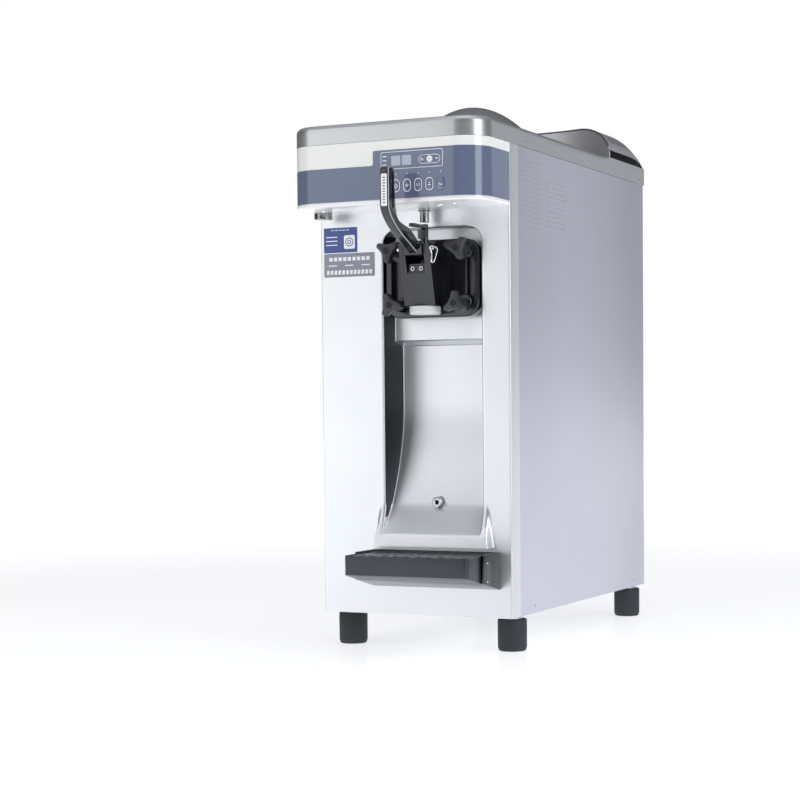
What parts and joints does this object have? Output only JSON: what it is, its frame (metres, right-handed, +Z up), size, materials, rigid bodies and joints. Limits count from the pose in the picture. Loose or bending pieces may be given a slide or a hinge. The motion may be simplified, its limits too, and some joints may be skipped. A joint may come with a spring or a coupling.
{
  "type": "soft-serve ice cream maker",
  "caption": "Countertop soft-serve ice cream maker: steel casing, keypad hood, pull lever and nozzle over a pressed throat, domed hopper lid and drip tray.",
  "frame": {"origin": "middle of the bounding box, on the table under the feet", "axes": "+Z up, +Y to the back, +X to the machine's right as seen from the front"},
  "size_m": [0.29, 0.692, 0.777],
  "materials": {
    "brushed_steel": "fine brushed stainless steel",
    "lid_steel": "satin stainless steel",
    "silver_panel": "fine grained silver steel sheet",
    "zinc_frame": "galvanised and cast grey metal",
    "white_trim": "satin white moulding",
    "blue_overlay": "glossy printed slate blue film",
    "key_white": "printed white keys",
    "circuit": "green circuit board with a pale digit block",
    "black_plastic": "satin black moulding",
    "grey_plastic": "satin dark grey moulding",
    "label_white": "white moulding",
    "clear_plastic": "clear moulding",
    "chrome": "polished",
    "rubber": "moulded rubber",
    "foam": "rigid foam",
    "grid_grey": "satin grey moulding",
    "dark_steel": "black enamel",
    "fin_metal": "thin bare fins"
  },
  "bodies": {
    "root": {"front_panel": "brushed_steel", "top_cover": "brushed_steel", "hopper": "brushed_steel", "freezing_cylinder": "brushed_steel", "left_side_panel": "silver_panel", "right_side_panel": "silver_panel", "rear_panel": "silver_panel", "base_pan": "zinc_frame", "left_frame": "zinc_frame", "right_frame": "zinc_frame", "drive_frame": "zinc_frame", "gearbox": "zinc_frame", "hood_shell": "white_trim", "control_overlay": "blue_overlay", "control_board": "circuit", "front_door": "black_plastic", "microswitch": "black_plastic", "power_inlet": "black_plastic", "tray_bracket": "black_plastic", "spout_cover": "grey_plastic", "drain_tube": "label_white", "pivot_pin": "chrome", "foot_front_left": "rubber", "foot_front_right": "rubber", "foot_rear_left": "rubber", "foot_rear_right": "rubber", "door_seal": "rubber", "drive_belt": "rubber", "insulation_jacket": "foam", "beater_motor": "dark_steel", "compressor": "dark_steel", "fan_shroud": "dark_steel", "fan_motor": "dark_steel", "condenser": "fin_metal"},
    "draw_lever": {"draw_lever": "black_plastic", "lever_label": "label_white"},
    "draw_valve": {"draw_valve": "black_plastic"},
    "switch_rod": {"switch_rod": "chrome"},
    "star_nozzle": {"star_nozzle": "clear_plastic"},
    "beater": {"beater": "label_white"},
    "driven_pulley": {"driven_pulley": "zinc_frame"},
    "motor_pulley": {"motor_pulley": "zinc_frame"},
    "fan_blade": {"fan_blade": "black_plastic"},
    "hopper_lid": {"hopper_lid": "lid_steel"},
    "feed_tube": {"feed_tube": "label_white"},
    "drip_tray": {"drip_tray": "black_plastic"},
    "drip_grid": {"drip_grid": "grid_grey"},
    "function_key_1": {"function_key_1": "blue_overlay"},
    "function_key_2": {"function_key_2": "blue_overlay"},
    "function_key_3": {"function_key_3": "blue_overlay"},
    "function_key_4": {"function_key_4": "blue_overlay"},
    "function_key_5": {"function_key_5": "blue_overlay"},
    "function_key_6": {"function_key_6": "blue_overlay"},
    "plus_key": {"plus_key": "key_white"},
    "set_key": {"set_key": "key_white"},
    "minus_key": {"minus_key": "key_white"},
    "door_knob_upper_left": {"door_knob_upper_left": "grey_plastic"},
    "door_knob_upper_right": {"door_knob_upper_right": "grey_plastic"},
    "door_knob_lower_left": {"door_knob_lower_left": "grey_plastic"},
    "door_knob_lower_right": {"door_knob_lower_right": "grey_plastic"}
  },
  "joints": [
    {"name": "lever_pull", "type": "hinge", "parent": "root", "child": "draw_lever", "pos_m": [0.027, -0.255, 0.55], "axis": [1, 0, 0], "range_deg": [0, 40]},
    {"name": "valve_lift", "type": "slide", "parent": "root", "child": "draw_valve", "axis": [0, 0, 1], "range_m": [0, 0.0165]},
    {"name": "switch_rod_lift", "type": "slide", "parent": "root", "child": "switch_rod", "axis": [0, 0, 1], "range_m": [0, 0.0165]},
    {"name": "nozzle_turn", "type": "hinge", "parent": "root", "child": "star_nozzle", "pos_m": [0.027, -0.225, 0.469], "axis": [0, 0, 1], "range_deg": [0, 45]},
    {"name": "beater_spin", "type": "hinge", "parent": "root", "child": "beater", "pos_m": [0.027, -0.045, 0.5135], "axis": [0, 1, 0], "continuous": true},
    {"name": "driven_pulley_spin", "type": "hinge", "parent": "root", "child": "driven_pulley", "pos_m": [0.027, 0.161, 0.5135], "axis": [0, 1, 0], "continuous": true},
    {"name": "motor_pulley_spin", "type": "hinge", "parent": "root", "child": "motor_pulley", "pos_m": [0.027, 0.161, 0.385], "axis": [0, 1, 0], "continuous": true},
    {"name": "fan_spin", "type": "hinge", "parent": "root", "child": "fan_blade", "pos_m": [-0.015, 0.265, 0.185], "axis": [0, 1, 0], "continuous": true},
    {"name": "lid_lift", "type": "slide", "parent": "root", "child": "hopper_lid", "axis": [0, 0, 1], "range_m": [0, 0.12]},
    {"name": "feed_tube_turn", "type": "hinge", "parent": "root", "child": "feed_tube", "pos_m": [0.027, -0.045, 0.63], "axis": [0, 0, 1], "range_deg": [0, 90]},
    {"name": "tray_slide", "type": "slide", "parent": "root", "child": "drip_tray", "axis": [0, -0.9726, 0.2325], "range_m": [0, 0.12]},
    {"name": "grid_lift", "type": "slide", "parent": "drip_tray", "child": "drip_grid", "axis": [0, 0, 1], "range_m": [0, 0.04]},
    {"name": "knob_upper_left_turn", "type": "hinge", "parent": "root", "child": "door_knob_upper_left", "pos_m": [-0.025, -0.225, 0.5518], "axis": [0, 1, 0], "continuous": true},
    {"name": "knob_upper_right_turn", "type": "hinge", "parent": "root", "child": "door_knob_upper_right", "pos_m": [0.079, -0.225, 0.5518], "axis": [0, 1, 0], "continuous": true},
    {"name": "knob_lower_left_turn", "type": "hinge", "parent": "root", "child": "door_knob_lower_left", "pos_m": [-0.0213, -0.225, 0.4775], "axis": [0, 1, 0], "continuous": true},
    {"name": "knob_lower_right_turn", "type": "hinge", "parent": "root", "child": "door_knob_lower_right", "pos_m": [0.0753, -0.225, 0.4775], "axis": [0, 1, 0], "continuous": true},
    {"name": "function_key_1_press", "type": "slide", "parent": "root", "child": "function_key_1", "axis": [0, 1, 0], "range_m": [0, 0.0004], "stiffness_N_per_m": 4000},
    {"name": "function_key_2_press", "type": "slide", "parent": "root", "child": "function_key_2", "axis": [0, 1, 0], "range_m": [0, 0.0004], "stiffness_N_per_m": 4000},
    {"name": "function_key_3_press", "type": "slide", "parent": "root", "child": "function_key_3", "axis": [0, 1, 0], "range_m": [0, 0.0004], "stiffness_N_per_m": 4000},
    {"name": "function_key_4_press", "type": "slide", "parent": "root", "child": "function_key_4", "axis": [0, 1, 0], "range_m": [0, 0.0004], "stiffness_N_per_m": 4000},
    {"name": "function_key_5_press", "type": "slide", "parent": "root", "child": "function_key_5", "axis": [0, 1, 0], "range_m": [0, 0.0004], "stiffness_N_per_m": 4000},
    {"name": "function_key_6_press", "type": "slide", "parent": "root", "child": "function_key_6", "axis": [0, 1, 0], "range_m": [0, 0.0004], "stiffness_N_per_m": 4000},
    {"name": "plus_key_press", "type": "slide", "parent": "root", "child": "plus_key", "axis": [0, 1, 0], "range_m": [0, 0.0004], "stiffness_N_per_m": 4000},
    {"name": "set_key_press", "type": "slide", "parent": "root", "child": "set_key", "axis": [0, 1, 0], "range_m": [0, 0.0004], "stiffness_N_per_m": 4000},
    {"name": "minus_key_press", "type": "slide", "parent": "root", "child": "minus_key", "axis": [0, 1, 0], "range_m": [0, 0.0004], "stiffness_N_per_m": 4000}
  ],
  "couplings": [
    {"joint": "valve_lift", "follows": "lever_pull", "m_per_rad": 0.023222},
    {"joint": "switch_rod_lift", "follows": "lever_pull", "m_per_rad": 0.023222},
    {"joint": "driven_pulley_spin", "follows": "beater_spin", "ratio": 5},
    {"joint": "motor_pulley_spin", "follows": "beater_spin", "ratio": 10.556}
  ]
}
